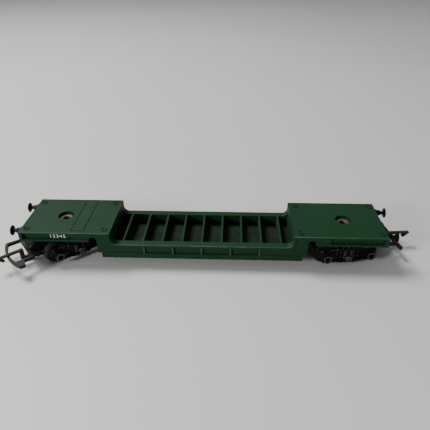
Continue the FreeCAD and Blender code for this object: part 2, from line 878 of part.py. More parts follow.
def build_bogie_frame(bogie, side, heading):
    body = new_body(bogie + "_bogie_frame")
    plate = new_sketch(body, "XY_Plane", "bolster_plan", dim("bolster_bottom"))
    half, reach = dim("bolster_half"), dim("frame_inner")
    draw_box(plate, -half, -reach, half, reach)
    top = dim("boss_bottom") - dim("washer_thickness") - dim("play")
    pad(body, plate, "bolster", top - dim("bolster_bottom"))

    frame_outer = dim("frame_inner") + dim("frame_thickness")
    side_feature(body, "side_frame", bogie_side_view, dim("frame_inner"), frame_outer)
    side_feature(body, "axle_boxes", draw_axle_boxes, dim("frame_inner"), dim("box_outer"))
    covers = (dim("box_outer"), dim("box_cover_outer"))
    side_feature(body, "box_covers", draw_box_covers, *covers)
    bolster = (frame_outer, dim("bolster_outer"))
    side_feature(body, "bolster_ends", draw_bolster_ends, *bolster)

    spine = new_sketch(body, "XY_Plane", "spine_plan", dim("beam_bottom"))
    narrow, wide = dim("spine_half"), dim("platform_half")
    near = [
        (-half, -narrow),
        (dim("platform_start"), -narrow),
        (dim("platform_start"), -wide),
        (dim("platform_end"), -wide),
    ]
    far = [(x, -y) for x, y in reversed(near)]
    draw_outline(spine, near + far)
    pad(body, spine, "spine", dim("beam_top") - dim("beam_bottom"))

    webs = new_sketch(body, "XY_Plane", "web_plan", dim("beam_bottom"))
    inside = narrow - dim("web_thickness")
    draw_box(webs, -half, inside, half, narrow)
    draw_box(webs, -half, -narrow, half, -inside)
    pad(body, webs, "webs", dim("bolster_bottom") - dim("beam_bottom"))

    springs = new_sketch(body, "XY_Plane", "spring_plan", dim("spring_bottom"))
    middle = dim("frame_inner") + dim("frame_thickness") / 2
    for x in (dim("spring_spacing") / 2, -(dim("spring_spacing") / 2)):
        for y in (middle, -middle):
            draw_circle(springs, (x, y), dim("spring_diameter"))
    pad(body, springs, "springs", dim("spring_top") - dim("spring_bottom"))

    bearing = new_sketch(body, "XZ_Plane", "bearing_view", dim("frame_inner"))
    bore = dim("axle_diameter") + dim("journal_clearance") * 2
    for sign in BOTH_SIGNS:
        centre = (dim("wheelbase") / 2 * sign, dim("flange_radius"))
        draw_circle(bearing, centre, bore)
    front = pocket(body, bearing, "bearings", dim("bearing_depth"), reverse=True)
    mirror(body, [front], "XZ_Plane", "rear_bearings")

    pivot = new_sketch(body, "XY_Plane", "pivot_plan", top)
    draw_circle(pivot, (NOTHING, NOTHING), dim("eyelet_shank") + dim("play") * 2)
    pocket(body, pivot, "pivot_hole", top - dim("bolster_bottom"))
    rivet = new_sketch(body, "XY_Plane", "rivet_plan", dim("beam_top"))
    draw_circle(rivet, (dim("rivet_along"), NOTHING), dim("rivet_shank"))
    pocket(body, rivet, "rivet_hole", dim("beam_top") - dim("beam_bottom"))
    place(body, (dim("pivot_distance") * side, NOTHING, NOTHING), heading)


# ---------------------------------------------------------------------------------------------
# Couplings
# ---------------------------------------------------------------------------------------------


def bowed_loop():
    """The left bogie's loop, seen from above: its front is bowed, one of its sides is at the end of
    the front and the other is further in. Gives the outline and the opening."""
    rear, wide, corner = dim("platform_end"), dim("loop_front_half"), dim("bowed_corner")
    front = dim("bowed_front")
    bulge = front - corner
    radius = (wide * wide + bulge * bulge) / (bulge * 2)
    centre = (front - radius, NOTHING)
    outline = [
        (rear, -dim("bowed_side")),
        (corner, -wide, centre),
        (front, NOTHING, centre),
        (corner, wide),
        (dim("bowed_end"), wide),
        (dim("bowed_end_root"), dim("loop_arm_outer")),
        (rear, dim("loop_arm_outer")),
    ]
    inside = radius - dim("loop_strip")
    side, arm = dim("bowed_side") - dim("bowed_side_strip"), dim("loop_arm_inner")
    opening = [
        (rear + dim("loop_rear"), -side),
        (centre[0] + root_of(inside * inside - side * side), -side, centre),
        (front - dim("loop_strip"), NOTHING, centre),
        (centre[0] + root_of(inside * inside - arm * arm), arm),
        (rear + dim("loop_rear"), arm),
    ]
    return outline, opening


def straight_loop():
    """The right bogie's loop, seen from above: a straight front that reaches past both of its sides.
    Gives the outline and the opening."""
    rear, wide, arm = dim("platform_end"), dim("loop_front_half"), dim("loop_arm_outer")
    inner = dim("straight_bar")
    front, set_out = inner + dim("loop_strip"), dim("straight_set")
    near = [
        (rear, -arm),
        (inner, -arm),
        (inner + set_out, -wide),
        (front + set_out, -wide),
        (front, -arm),
    ]
    far = [(x, -y) for x, y in reversed(near)]
    hole = dim("loop_arm_inner")
    opening = [
        (rear + dim("loop_rear"), -hole),
        (inner, -hole),
        (inner, hole),
        (rear + dim("loop_rear"), hole),
    ]
    return near + far, opening


def loop_corner_edge(edge):
    """True for the upright edges at the ends of the loop's front."""
    box = edge.BoundBox
    upright = box.ZLength > TOUCHING and box.XLength < TOUCHING and box.YLength < TOUCHING
    return upright and abs(box.YMin) > DIMENSIONS["loop_front_half"] - TOUCHING


def build_coupling_loop(bogie, side, heading, plan, rounding):
    """A loop of strip, with a tongue under the bogie's end and two ears that hold the hook's pin."""
    body = new_body(bogie + "_coupling_loop")
    ring = new_sketch(body, "XY_Plane", "loop_plan", dim("loop_bottom"))
    for outline in plan:
        draw_outline(ring, outline)
    pad(body, ring, "loop", dim("loop_height"))
    soften(body, "loop_corners", dim(rounding), loop_corner_edge)

    tongue = new_sketch(body, "XY_Plane", "tongue_plan", dim("beam_bottom") - dim("tongue_thickness"))
    half = dim("tongue_half")
    draw_box(tongue, dim("tongue_start"), -half, dim("platform_end") + dim("tongue_overlap"), half)
    pad(body, tongue, "tongue", dim("tongue_thickness"))

    ears = new_sketch(body, "XY_Plane", "ear_plan", dim("ear_bottom"))
    near, far = dim("ear_inner"), dim("ear_outer")
    draw_box(ears, dim("ear_start"), near, dim("ear_end"), far)
    draw_box(ears, dim("ear_start"), -far, dim("ear_end"), -near)
    pad(body, ears, "ears", dim("beam_bottom") - dim("tongue_thickness") - dim("ear_bottom"))

    pin = new_sketch(body, "XZ_Plane", "pin_hole_view", dim("ear_outer"))
    draw_circle(pin, (dim("hook_pin_along"), dim("hook_pin_height")), dim("hook_pin_diameter"))
    pocket(body, pin, "pin_holes", dim("ear_outer") * 2)
    rivet = new_sketch(body, "XY_Plane", "rivet_plan", dim("beam_bottom"))
    draw_circle(rivet, (dim("rivet_along"), NOTHING), dim("rivet_shank"))
    pocket(body, rivet, "rivet_hole", dim("tongue_thickness"))
    place(body, (dim("pivot_distance") * side, NOTHING, NOTHING), heading)


def build_coupling_rivet(bogie, side, heading):
    """The rivet that holds the loop's tongue to the bogie, with a domed head above and a flat one below."""
    low, high = dim("beam_bottom") - dim("tongue_thickness"), dim("beam_top")
    shank, head = dim("rivet_shank") / 2, dim("rivet_head") / 2
    foot = low - dim("rivet_foot_height")
    corners = [
        (NOTHING, foot),
        (dim("rivet_foot_flat"), foot),
        (head, low),
        (shank, low),
        (shank, high),
        (head, high),
        (dim("rivet_head_flat"), high + dim("rivet_head_shoulder")),
        (NOTHING, high + dim("rivet_head_height")),
    ]
    build_turned_about_z(bogie + "_coupling_rivet", corners, NOTHING)
    x, y = along_bogie(heading, side, dim("rivet_along"))
    place(NODES[-1], (x, y, NOTHING), heading)


def build_hook_pin(bogie, side, heading):
    body = new_body(bogie + "_hook_pin")
    half, end = dim("hook_pin_diameter") / 2, dim("hook_pin_length") / 2
    corners = [(NOTHING, -end), (half, -end), (half, end), (NOTHING, end)]
    revolve(body, corners, "turned_pin")
    x, y = along_bogie(heading, side, dim("hook_pin_along"))
    place(body, (x, y, dim("hook_pin_height")), heading)


def build_coupling_hook(bogie, side, heading):
    """A flat pressing: an eye on the pin, an arm, a riser, and a shank over the loop to the barb."""
    body = new_body(bogie + "_coupling_hook")
    eye = (dim("hook_pin_along"), dim("hook_pin_height"))
    radius = dim("hook_eye") / 2
    start, chamfer = dim("riser_start"), dim("shank_chamfer")
    tip, tip_top = dim("hook_tip"), dim("hook_tip_top")
    barb, barb_bottom = dim("barb_back"), dim("barb_bottom")
    corners = [
        (eye[0], eye[1] + radius, eye),
        (eye[0] - radius, eye[1], eye),
        (eye[0], eye[1] - radius),
        (start - dim("riser_chamfer"), dim("riser_bottom") + dim("riser_foot_rise")),
        (start, dim("riser_bottom")),
        (dim("riser_end"), dim("riser_bottom")),
        (dim("riser_end"), dim("shank_top") - dim("shank_depth")),
        (dim("barb_root"), tip_top - dim("tip_depth")),
        (barb, barb_bottom + dim("barb_chamfer")),
        (barb + dim("barb_width"), barb_bottom),
        (tip, tip_top - dim("tip_chamfer")),
        (tip, tip_top),
        (start + chamfer, dim("shank_top")),
        (start, dim("shank_top") - chamfer),
        (start, dim("hook_pin_height") + dim("arm_rise")),
    ]
    view = new_sketch(body, "XZ_Plane", "hook_view")
    draw_outline(view, corners)
    pad(body, view, "hook_plate", dim("hook_thickness"), both_ways=True)
    hole = new_sketch(body, "XZ_Plane", "eye_view", dim("hook_thickness") / 2)
    draw_circle(hole, eye, dim("hook_pin_diameter") + dim("play") * 2)
    pocket(body, hole, "eye_hole", dim("hook_thickness"))
    place(body, (dim("pivot_distance") * side, NOTHING, NOTHING), heading)


# ---------------------------------------------------------------------------------------------
# Assembly
# ---------------------------------------------------------------------------------------------


def build_all():
    finish_wagon_body(build_wagon_body())
    half = dim("buffer_spacing") / 2
    for end, x, quarter_turns in (("left", -HALF_LENGTH, 2), ("right", HALF_LENGTH, 0)):
        for face, y in (("front", -half), ("rear", half)):
            build_buffer("%s_%s_buffer" % (end, face), x, y, quarter_turns)
    loops = {"left": (bowed_loop(), "bowed_round"), "right": (straight_loop(), "straight_round")}
    for bogie, side in (("left", -1), ("right", 1)):
        heading = dim(bogie + "_heading")
        pivot = dim("pivot_distance") * side
        build_turned_about_z(bogie + "_pivot_eyelet", eyelet_profile(), pivot)
        build_turned_about_z(bogie + "_pivot_washer", washer_profile(), pivot)
        build_bogie_frame(bogie, side, heading)
        build_wheelset(bogie, "outer", side, heading, dim("wheelbase") / 2)
        build_wheelset(bogie, "inner", side, heading, -(dim("wheelbase") / 2))
        build_coupling_loop(bogie, side, heading, *loops[bogie])
        build_coupling_rivet(bogie, side, heading)
        build_hook_pin(bogie, side, heading)
        build_coupling_hook(bogie, side, heading)


def check_document():
    """Stops if a feature failed or a sub-part isn't one good solid."""
    doc.recompute()
    for item in doc.Objects:
        if "Invalid" in item.State or "Error" in item.State:
            raise RuntimeError("%s failed: %s" % (item.Label, item.State))
    for body in NODES:
        shape = body.Shape
        if shape.isNull() or not shape.isValid() or len(shape.Solids) != 1:
            raise RuntimeError("%s isn't one valid solid" % body.Label)


def write_parts():
    os.makedirs("parts", exist_ok=True)
    for body in NODES:
        body.Shape.exportStep(os.path.join("parts", body.Label + ".step"))
        box = body.Shape.BoundBox
        print(
            "%-24s volume %9.2f  x %7.2f %7.2f  y %7.2f %7.2f  z %6.2f %6.2f"
            % (body.Label, body.Shape.Volume, box.XMin, box.XMax, box.YMin, box.YMax,
               box.ZMin, box.ZMax)
        )


build_all()
check_document()
write_parts()
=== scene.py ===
"""The looks of a 4 mm scale bogie well wagon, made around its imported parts.

Every piece is worked out in metres in the wagon's own frame: +X along it, +Y to its rear side, +Z up,
with z = 0 where the wheel flanges stand. A bogie's details are worked out in the bogie's frame (x out
to the coupling, z up, the swivel at x = 0) and carried into place by the bogie's heading.
"""

import json
import math

import bmesh
import bpy
import numpy as np
from mathutils import Matrix, Vector


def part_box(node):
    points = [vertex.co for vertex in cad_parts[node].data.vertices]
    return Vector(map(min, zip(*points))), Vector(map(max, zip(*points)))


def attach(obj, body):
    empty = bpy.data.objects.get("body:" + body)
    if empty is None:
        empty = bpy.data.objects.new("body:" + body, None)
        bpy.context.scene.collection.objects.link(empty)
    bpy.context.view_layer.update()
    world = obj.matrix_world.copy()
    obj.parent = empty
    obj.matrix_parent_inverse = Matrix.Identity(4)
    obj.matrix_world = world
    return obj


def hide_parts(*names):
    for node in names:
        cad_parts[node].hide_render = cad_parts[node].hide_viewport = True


bl_info = {
    "name": "Bogie Well Wagon",
    "version": (1, 0, 0),
    "blender": (4, 5, 0),
    "location": "3D View > Sidebar > Well Wagon",
    "description": "Builds the paint, wheels, springs and couplings of a model bogie well wagon",
    "category": "Add Mesh",
}

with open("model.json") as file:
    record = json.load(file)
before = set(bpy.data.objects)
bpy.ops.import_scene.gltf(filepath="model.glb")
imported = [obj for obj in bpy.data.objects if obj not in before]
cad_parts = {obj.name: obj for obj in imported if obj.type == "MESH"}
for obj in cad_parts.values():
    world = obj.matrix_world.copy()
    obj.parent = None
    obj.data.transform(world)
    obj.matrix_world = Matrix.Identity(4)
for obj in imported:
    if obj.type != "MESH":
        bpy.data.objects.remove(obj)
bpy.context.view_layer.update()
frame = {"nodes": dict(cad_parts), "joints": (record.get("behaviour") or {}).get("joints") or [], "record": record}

MM = 0.001
BOGIES = ("left", "right")
WHEELSETS = ("outer", "inner")
EYELET_DEPTH = 1.5 * MM
DECK_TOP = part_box("left_pivot_eyelet")[1].z + EYELET_DEPTH
RAIL_TOP = next(m for m in frame["record"]["mounts"] if m["name"] == "load_face")["pos_m"][2]
BODY_LOW, BODY_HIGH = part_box("wagon_body")

# The body's paint follows these edges and depths.
SOLEBAR_RECESS = 1.3 * MM
WELL_HALF_WIDTH = 13.0 * MM
WELL_DEPTH = 5.8 * MM
RIB_FOOT, RIB_HEAD = 8.2 * MM, 12.4 * MM
# Painted shade for the floors of the deck grooves.
GROOVE_SHADE = (0.002, 0.007, 0.002)
# Lighter blots within the side lips' painted highlight, partly scuffing and partly painted highlight.
SCUFF_AND_HIGHLIGHT = (0.085, 0.115, 0.060)
BARE_FLECK = (0.15, 0.17, 0.11)

# Places on a bogie, in millimetres in its own frame.
AXLE_ALONG, AXLE_HEIGHT = 11.7, 6.25
SPRING_ALONG, SPRING_ACROSS = 1.75, 13.0
HOOK_PIN = (18.2, 0, 3.9)
COUPLING_RIVET = (21.15, 0, 0)

# ---------------------------------------------------------------------------------------------
# Settings that a user would change
# ---------------------------------------------------------------------------------------------


def colour_setting(name, description, default):
    return bpy.props.FloatVectorProperty(
        name=name, description=description, default=default, size=3, min=0, max=1, subtype="COLOR"
    )


def length_setting(name, description, default):
    return bpy.props.FloatProperty(
        name=name, description=description, default=default, min=0, unit="LENGTH", precision=5
    )


def share_setting(name, description, default):
    return bpy.props.FloatProperty(
        name=name, description=description, default=default, min=0, max=1, subtype="FACTOR"
    )


class PaintSettings(bpy.types.PropertyGroup):
    """Paint and dirt of the body."""

    green: colour_setting("Green", "Main colour of the body paint", (0.0040, 0.0270, 0.0090))
    faded: colour_setting("Faded green", "Colour where the paint has chalked", (0.0075, 0.0310, 0.0130))
    # This colour serves both the edge wear and the painted highlights on the side lips and ribs.
    worn_and_highlight: colour_setting("Worn edge", "Colour of the rubbed edges", (0.036, 0.085, 0.040))
    dirt: colour_setting("Dirt", "Colour of the dust in the well", (0.0085, 0.0150, 0.0072))
    number_white: colour_setting("Number", "Colour of the running number", (0.62, 0.64, 0.58))
    edge_width: length_setting("Edge rounding", "Width of the softened edges", 0.16 * MM)
    wear: share_setting("Wear", "How much of the edges is rubbed", 0.55)


class RunningGearSettings(bpy.types.PropertyGroup):
    """Bogies, wheels, springs and couplings."""

    black: colour_setting("Black", "Moulded black of the bogies", (0.0030, 0.0030, 0.0032))
    dust: colour_setting("Dust", "Colour of the dust on the black parts", (0.018, 0.017, 0.0155))
    rust: colour_setting("Rust", "Brown of the coupling hooks", (0.050, 0.021, 0.013))
    steel: colour_setting("Steel", "Bare steel of treads and axles", (0.30, 0.29, 0.27))
    copper: colour_setting("Eyelet", "Coppered steel of the swivel eyelets", (0.105, 0.085, 0.068))
    spring_wire: length_setting("Spring wire", "Thickness of the springs' wire", 0.62 * MM)
    spring_turns: bpy.props.IntProperty(
        name="Spring turns", description="Turns in each coil spring", default=6, min=2, max=12
    )


class StageSettings(bpy.types.PropertyGroup):
    """Camera, floor and light."""

    lens: bpy.props.FloatProperty(
        name="Lens", description="Focal length for a 36 mm wide picture", default=36.08, unit="CAMERA"
    )
    camera_place: bpy.props.FloatVectorProperty(
        name="Camera", description="Where the camera stands",
        default=(0.01485, -0.19379, 0.14525), size=3, subtype="XYZ_LENGTH"
    )
    pitch: bpy.props.FloatProperty(
        name="Pitch", description="How far the camera looks down",
        default=math.radians(32.44), subtype="ANGLE"
    )
    yaw: bpy.props.FloatProperty(
        name="Yaw", description="How far the camera is turned to the left",
        default=math.radians(2.49), subtype="ANGLE"
    )
    roll: bpy.props.FloatProperty(
        name="Roll", description="How far the camera leans",
        default=math.radians(-0.43), subtype="ANGLE"
    )
    floor_grey: colour_setting("Floor", "Colour of the floor", (0.50, 0.50, 0.485))
    key_power: bpy.props.FloatProperty(
        name="Key light", description="Power of the large soft light", default=19.0, unit="POWER"
    )
    sky: share_setting("Sky", "Strength of the even light from all round", 0.28)


# ---------------------------------------------------------------------------------------------
# Surfaces
# ---------------------------------------------------------------------------------------------


def mesh_object(name, vertices, faces):
    mesh = bpy.data.meshes.new(name)
    mesh.from_pydata(np.asarray(vertices).reshape(-1, 3).tolist(), [], faces)
    made = bpy.data.objects.new(name, mesh)
    bpy.context.scene.collection.objects.link(made)
    return made


def tidy_mesh(made, smooth=True):
    """Merges poles and seams, turns all faces outwards and sets the shading."""
    work = bmesh.new()
    work.from_mesh(made.data)
    bmesh.ops.remove_doubles(work, verts=work.verts, dist=1e-7)
    bmesh.ops.dissolve_degenerate(work, edges=work.edges, dist=1e-8)
    bmesh.ops.recalc_face_normals(work, faces=work.faces)
    for face in work.faces:
        face.smooth = smooth
    work.to_mesh(made.data)
    work.free()
    return made


def grid_faces(rows, columns, wrap_rows, wrap_columns, first=0):
    """The quads of a grid of points, as a list of index lists; either direction can close on itself."""
    row = np.arange(rows if wrap_rows else rows - 1)
    column = np.arange(columns if wrap_columns else columns - 1)
    i, j = (a.ravel() for a in np.meshgrid(row, column, indexing="ij"))
    i2, j2 = (i + 1) % rows, (j + 1) % columns
    quads = np.stack([i * columns + j, i2 * columns + j, i2 * columns + j2, i * columns + j2], 1)
    return (quads + first).tolist()


def round_corners(points, radius, steps=4, closed=False):
    """The polyline with each corner replaced by a quadratic curve. The curve starts and ends at the
    radius from the corner, or just under half way along a side that is too short for that."""
    longest_share = 0.48
    points = np.asarray(points, float)
    inner = range(len(points)) if closed else range(1, len(points) - 1)
    rounded = [] if closed else [points[:1]]
    t = np.linspace(0, 1, steps)[:, None]
    for k in inner:
        before, corner, after = points[k - 1], points[k], points[(k + 1) % len(points)]
        start, end = (
            corner + (p - corner) * min(radius / np.linalg.norm(p - corner), longest_share)
            for p in (before, after)
        )
        rounded.append((1 - t) ** 2 * start + 2 * t * (1 - t) * corner + t**2 * end)
    if not closed:
        rounded.append(points[-1:])
    return np.concatenate(rounded)


def square_to(axis):
    """Two unit vectors at right angles to axis and to each other."""
    axis = np.asarray(axis, float)
    helper = np.array([0.0, 0.0, 1.0]) if abs(axis[2]) < 0.9 else np.array([1.0, 0.0, 0.0])
    first = np.cross(axis, helper)
    first /= np.linalg.norm(first)
    return first, np.cross(axis, first)


def lathe_points(profile, centre, axis, turns):
    """A profile of (radius, distance along the axis) carried round the axis: the point at angle a is
    centre + axis times distance + radius times (cos a, sin a) across the axis."""
    first, second = square_to(axis)
    angle = np.linspace(0, 2 * math.pi, turns, endpoint=False)[:, None, None]
    radius, along = profile[None, :, :1], profile[None, :, 1:]
    across = np.cos(angle) * first + np.sin(angle) * second
    return np.asarray(centre) + along * np.asarray(axis) + radius * across


def lathe(name, profile, centre, axis, turns=72, closed=False):
    """A turned piece. A closed profile makes a ring; an open one starts and ends on the axis."""
    profile = np.asarray(profile, float)
    points = lathe_points(profile, centre, axis, turns)
    made = mesh_object(name, points, grid_faces(turns, len(profile), True, closed))
    return tidy_mesh(made)


def tube_points(path, section, up):
    """A section of (sideways, upwards) carried along a path: sideways is the path's direction
    crossed with up, so the section never twists."""
    step = np.gradient(path, axis=0)
    step /= np.linalg.norm(step, axis=1, keepdims=True)
    side = np.cross(step, up)
    side /= np.linalg.norm(side, axis=1, keepdims=True)
    rise = np.cross(side, step)
    return path[:, None] + side[:, None] * section[None, :, :1] + rise[:, None] * section[None, :, 1:]


def circle_section(radius, count):
    angle = np.linspace(0, 2 * math.pi, count, endpoint=False)
    return np.stack([np.cos(angle), np.sin(angle)], 1) * radius


def joint_named(name):
    return next(joint for joint in frame["joints"] if joint["name"] == name)


def bogie_matrix(bogie):
    """From the bogie's own frame to the wagon's, as a rotation about +Z and a shift to the swivel."""
    pivot = joint_named(bogie + "_swivel")["pos_m"]
    across = joint_named(bogie + "_hook_lift")["axis"]
    heading = math.atan2(across[0], -across[1])
    return Matrix.Translation((pivot[0], pivot[1], 0)) @ Matrix.Rotation(heading, 4, "Z")


def carried(points, matrix):
    """The points, in millimetres in a bogie's frame, as metres in the wagon's frame."""
    turn = np.array(matrix.to_3x3())
    return (np.asarray(points) * MM) @ turn.T + np.array(matrix.translation)


def soft_copy(node, width, worn_slot=True, segments=2):
    """A copy of a CAD node's mesh with its flat faces joined up again and its sharp edges rounded.
    With worn_slot, the rounded strips get the second material."""
    weld, flat, sharp_from = 2e-6, math.radians(0.5), math.radians(30)
    source = frame["nodes"][node]
    made = bpy.data.objects.new(node + "_finished", source.data.copy())
    made.data.materials.clear()
    bpy.context.scene.collection.objects.link(made)
    work = bmesh.new()
    work.from_mesh(made.data)
    bmesh.ops.remove_doubles(work, verts=work.verts, dist=weld)
    bmesh.ops.dissolve_degenerate(work, edges=work.edges, dist=weld)
    bmesh.ops.dissolve_limit(
        work, angle_limit=flat, verts=work.verts, edges=work.edges,
        use_dissolve_boundaries=False,
    )
    sharp = [
        edge for edge in work.edges
        if len(edge.link_faces) == 2 and edge.calc_face_angle(0) > sharp_from
    ]
    bmesh.ops.bevel(
        work, geom=sharp, offset=width, offset_type="OFFSET", segments=segments, profile=0.6,
        affect="EDGES", clamp_overlap=True, material=1 if worn_slot else -1,
    )
    bmesh.ops.triangulate(work, faces=[f for f in work.faces if len(f.verts) > 4])
    for face in work.faces:
        face.smooth = True
    work.to_mesh(made.data)
    work.free()
    weighted = made.modifiers.new("weighted normals", "WEIGHTED_NORMAL")
    weighted.keep_sharp = True
    return made


# ---------------------------------------------------------------------------------------------
# Shader nodes
# ---------------------------------------------------------------------------------------------


def put(tree, kind, settings=None, **sockets):
    """Adds a node. A socket's value is a number, a colour or another node's output."""
    node = tree.nodes.new(kind)
    for name, value in (settings or {}).items():
        setattr(node, name, value)
    for name, value in sockets.items():
        feed(tree, node.inputs[name.replace("_", " ")], value)
    return node


def feed(tree, socket, value):
    if isinstance(value, bpy.types.NodeSocket):
        tree.links.new(value, socket)
    elif socket.type == "RGBA" and len(value) == 3:
        socket.default_value = (*value, 1.0)
    else:
        socket.default_value = value


def calculate(tree, operation, first, second=0.0, clamp=False):
    node = put(tree, "ShaderNodeMath", {"operation": operation, "use_clamp": clamp})
    feed(tree, node.inputs[0], first)
    feed(tree, node.inputs[1], second)
    return node.outputs[0]


def product(tree, first, second, clamp=False):
    return calculate(tree, "MULTIPLY", first, second, clamp)


def mixed(tree, share, first, second):
    """A colour between first and second."""
    node = put(tree, "ShaderNodeMix", {"data_type": "RGBA"})
    feed(tree, node.inputs[0], share)
    feed(tree, node.inputs[6], first)
    feed(tree, node.inputs[7], second)
    return node.outputs[2]


def ramp(tree, value, low, high, to_low=0.0, to_high=1.0):
    """value carried smoothly from the range low..high to to_low..to_high, and held at its ends."""
    node = put(tree, "ShaderNodeMapRange", {"interpolation_type": "SMOOTHSTEP"}, Value=value)
    for name, number in zip(("From Min", "From Max", "To Min", "To Max"), (low, high, to_low, to_high)):
        feed(tree, node.inputs[name], number)
    return node.outputs[0]


def band(tree, value, low, high, low_blur, high_blur):
    """1 between low and high, and down to 0 outside, over twice each blur."""
    rising = ramp(tree, value, low - low_blur, low + low_blur)
    return product(tree, rising, ramp(tree, value, high + high_blur, high - high_blur))


def upward_share(tree):
    """How far the surface faces up: 1 when it faces straight up, 0 when it is upright."""
    normal = put(tree, "ShaderNodeNewGeometry").outputs["Normal"]
    return put(tree, "ShaderNodeSeparateXYZ", Vector=normal).outputs[2]


def new_group(name, inputs, outputs):
    """An empty shader node group: inputs are (name, kind, default) and outputs (name, kind)."""
    tree = bpy.data.node_groups.new(name, "ShaderNodeTree")
    for label, kind, default in inputs:
        socket = tree.interface.new_socket(label, in_out="INPUT", socket_type="NodeSocket" + kind)
        if default is not None:
            socket.default_value = default
    for label, kind in outputs:
        tree.interface.new_socket(label, in_out="OUTPUT", socket_type="NodeSocket" + kind)
    return tree, tree.nodes.new("NodeGroupInput"), tree.nodes.new("NodeGroupOutput")


def speckle_group():
    """Blots: noise of a given scale, cut at a threshold. The second, larger noise gathers them."""
    tree, given, result = new_group(
        "blots",
        [("Vector", "Vector", None), ("Scale", "Float", 500.0), ("Cover", "Float", 0.4),
         ("Softness", "Float", 0.1)],
        [("Mask", "Float")],
    )
    fine = put(tree, "ShaderNodeTexNoise", Vector=given.outputs[0], Scale=given.outputs[1],
               Detail=5.0, Roughness=0.6)
    broad_scale = product(tree, given.outputs[1], 0.17)
    broad = put(tree, "ShaderNodeTexNoise", Vector=given.outputs[0], Scale=broad_scale, Detail=2.0)
    both = calculate(tree, "ADD", fine.outputs[0], product(tree, broad.outputs[0], 0.7))
    level = calculate(tree, "SUBTRACT", 1.25, product(tree, given.outputs[2], 0.8))
    top = calculate(tree, "ADD", level, given.outputs[3])
    tree.links.new(ramp(tree, both, level, top), result.inputs[0])
    return tree


def dust_group():
    """Dust that settles on what faces up, in blots, and lightens and roughens the surface."""
    tree, given, result = new_group(
        "settled_dust",
        [("Vector", "Vector", None), ("Colour", "Color", (0.1, 0.1, 0.1, 1)),
         ("Dust", "Color", (0.3, 0.3, 0.3, 1)), ("Amount", "Float", 0.3), ("Scale", "Float", 300.0)],
        [("Colour", "Color"), ("Mask", "Float")],
    )
    up = ramp(tree, upward_share(tree), 0.2, 0.95, 0.25, 1.0)
    noise = put(tree, "ShaderNodeTexNoise", Vector=given.outputs[0], Scale=given.outputs[4],
                Detail=6.0, Roughness=0.65)
    blots = ramp(tree, noise.outputs[0], 0.35, 0.75)
    mask = product(tree, product(tree, up, blots), given.outputs[3], True)
    tree.links.new(mixed(tree, mask, given.outputs[1], given.outputs[2]), result.inputs[0])
    tree.links.new(mask, result.inputs[1])
    return tree


def grain_group():
    """The fine unevenness of a moulded or brushed surface, as a height in metres."""
    tree, given, result = new_group(
        "surface_grain",
        [("Vector", "Vector", None), ("Scale", "Float", 1500.0), ("Height", "Float", 0.00002)],
        [("Height", "Float")],
    )
    noise = put(tree, "ShaderNodeTexNoise", Vector=given.outputs[0], Scale=given.outputs[1],
                Detail=4.0, Roughness=0.55)
    tree.links.new(product(tree, noise.outputs[0], given.outputs[2]), result.inputs[0])
    return tree


GROUPS = {}


def use(tree, name, **sockets):
    """Places one of the shared groups, and builds it the first time."""
    makers = {"blots": speckle_group, "settled_dust": dust_group, "surface_grain": grain_group}
    if name not in GROUPS:
        GROUPS[name] = makers[name]()
    node = put(tree, "ShaderNodeGroup", {"node_tree": GROUPS[name]})
    for label, value in sockets.items():
        feed(tree, node.inputs[label], value)
    return node


def new_material(name, **shader):
    """A material with a Principled BSDF whose even values are set on its own sockets."""
    material = bpy.data.materials.new(name)
    material.use_nodes = True
    tree = material.node_tree
    surface = tree.nodes["Principled BSDF"]
    for label, value in shader.items():
        feed(tree, surface.inputs[label.replace("_", " ")], value)
    place = tree.nodes.new("ShaderNodeTexCoord").outputs["Object"]
    return material, tree, surface, place


def bump(tree, surface, height):
    """Bump from a height in metres."""
    node = put(tree, "ShaderNodeBump", Height=height, Strength=1.0, Distance=1.0)
    tree.links.new(node.outputs[0], surface.inputs["Normal"])


def stretched(tree, place, scale):
    return put(tree, "ShaderNodeMapping", Vector=place, Scale=scale).outputs[0]


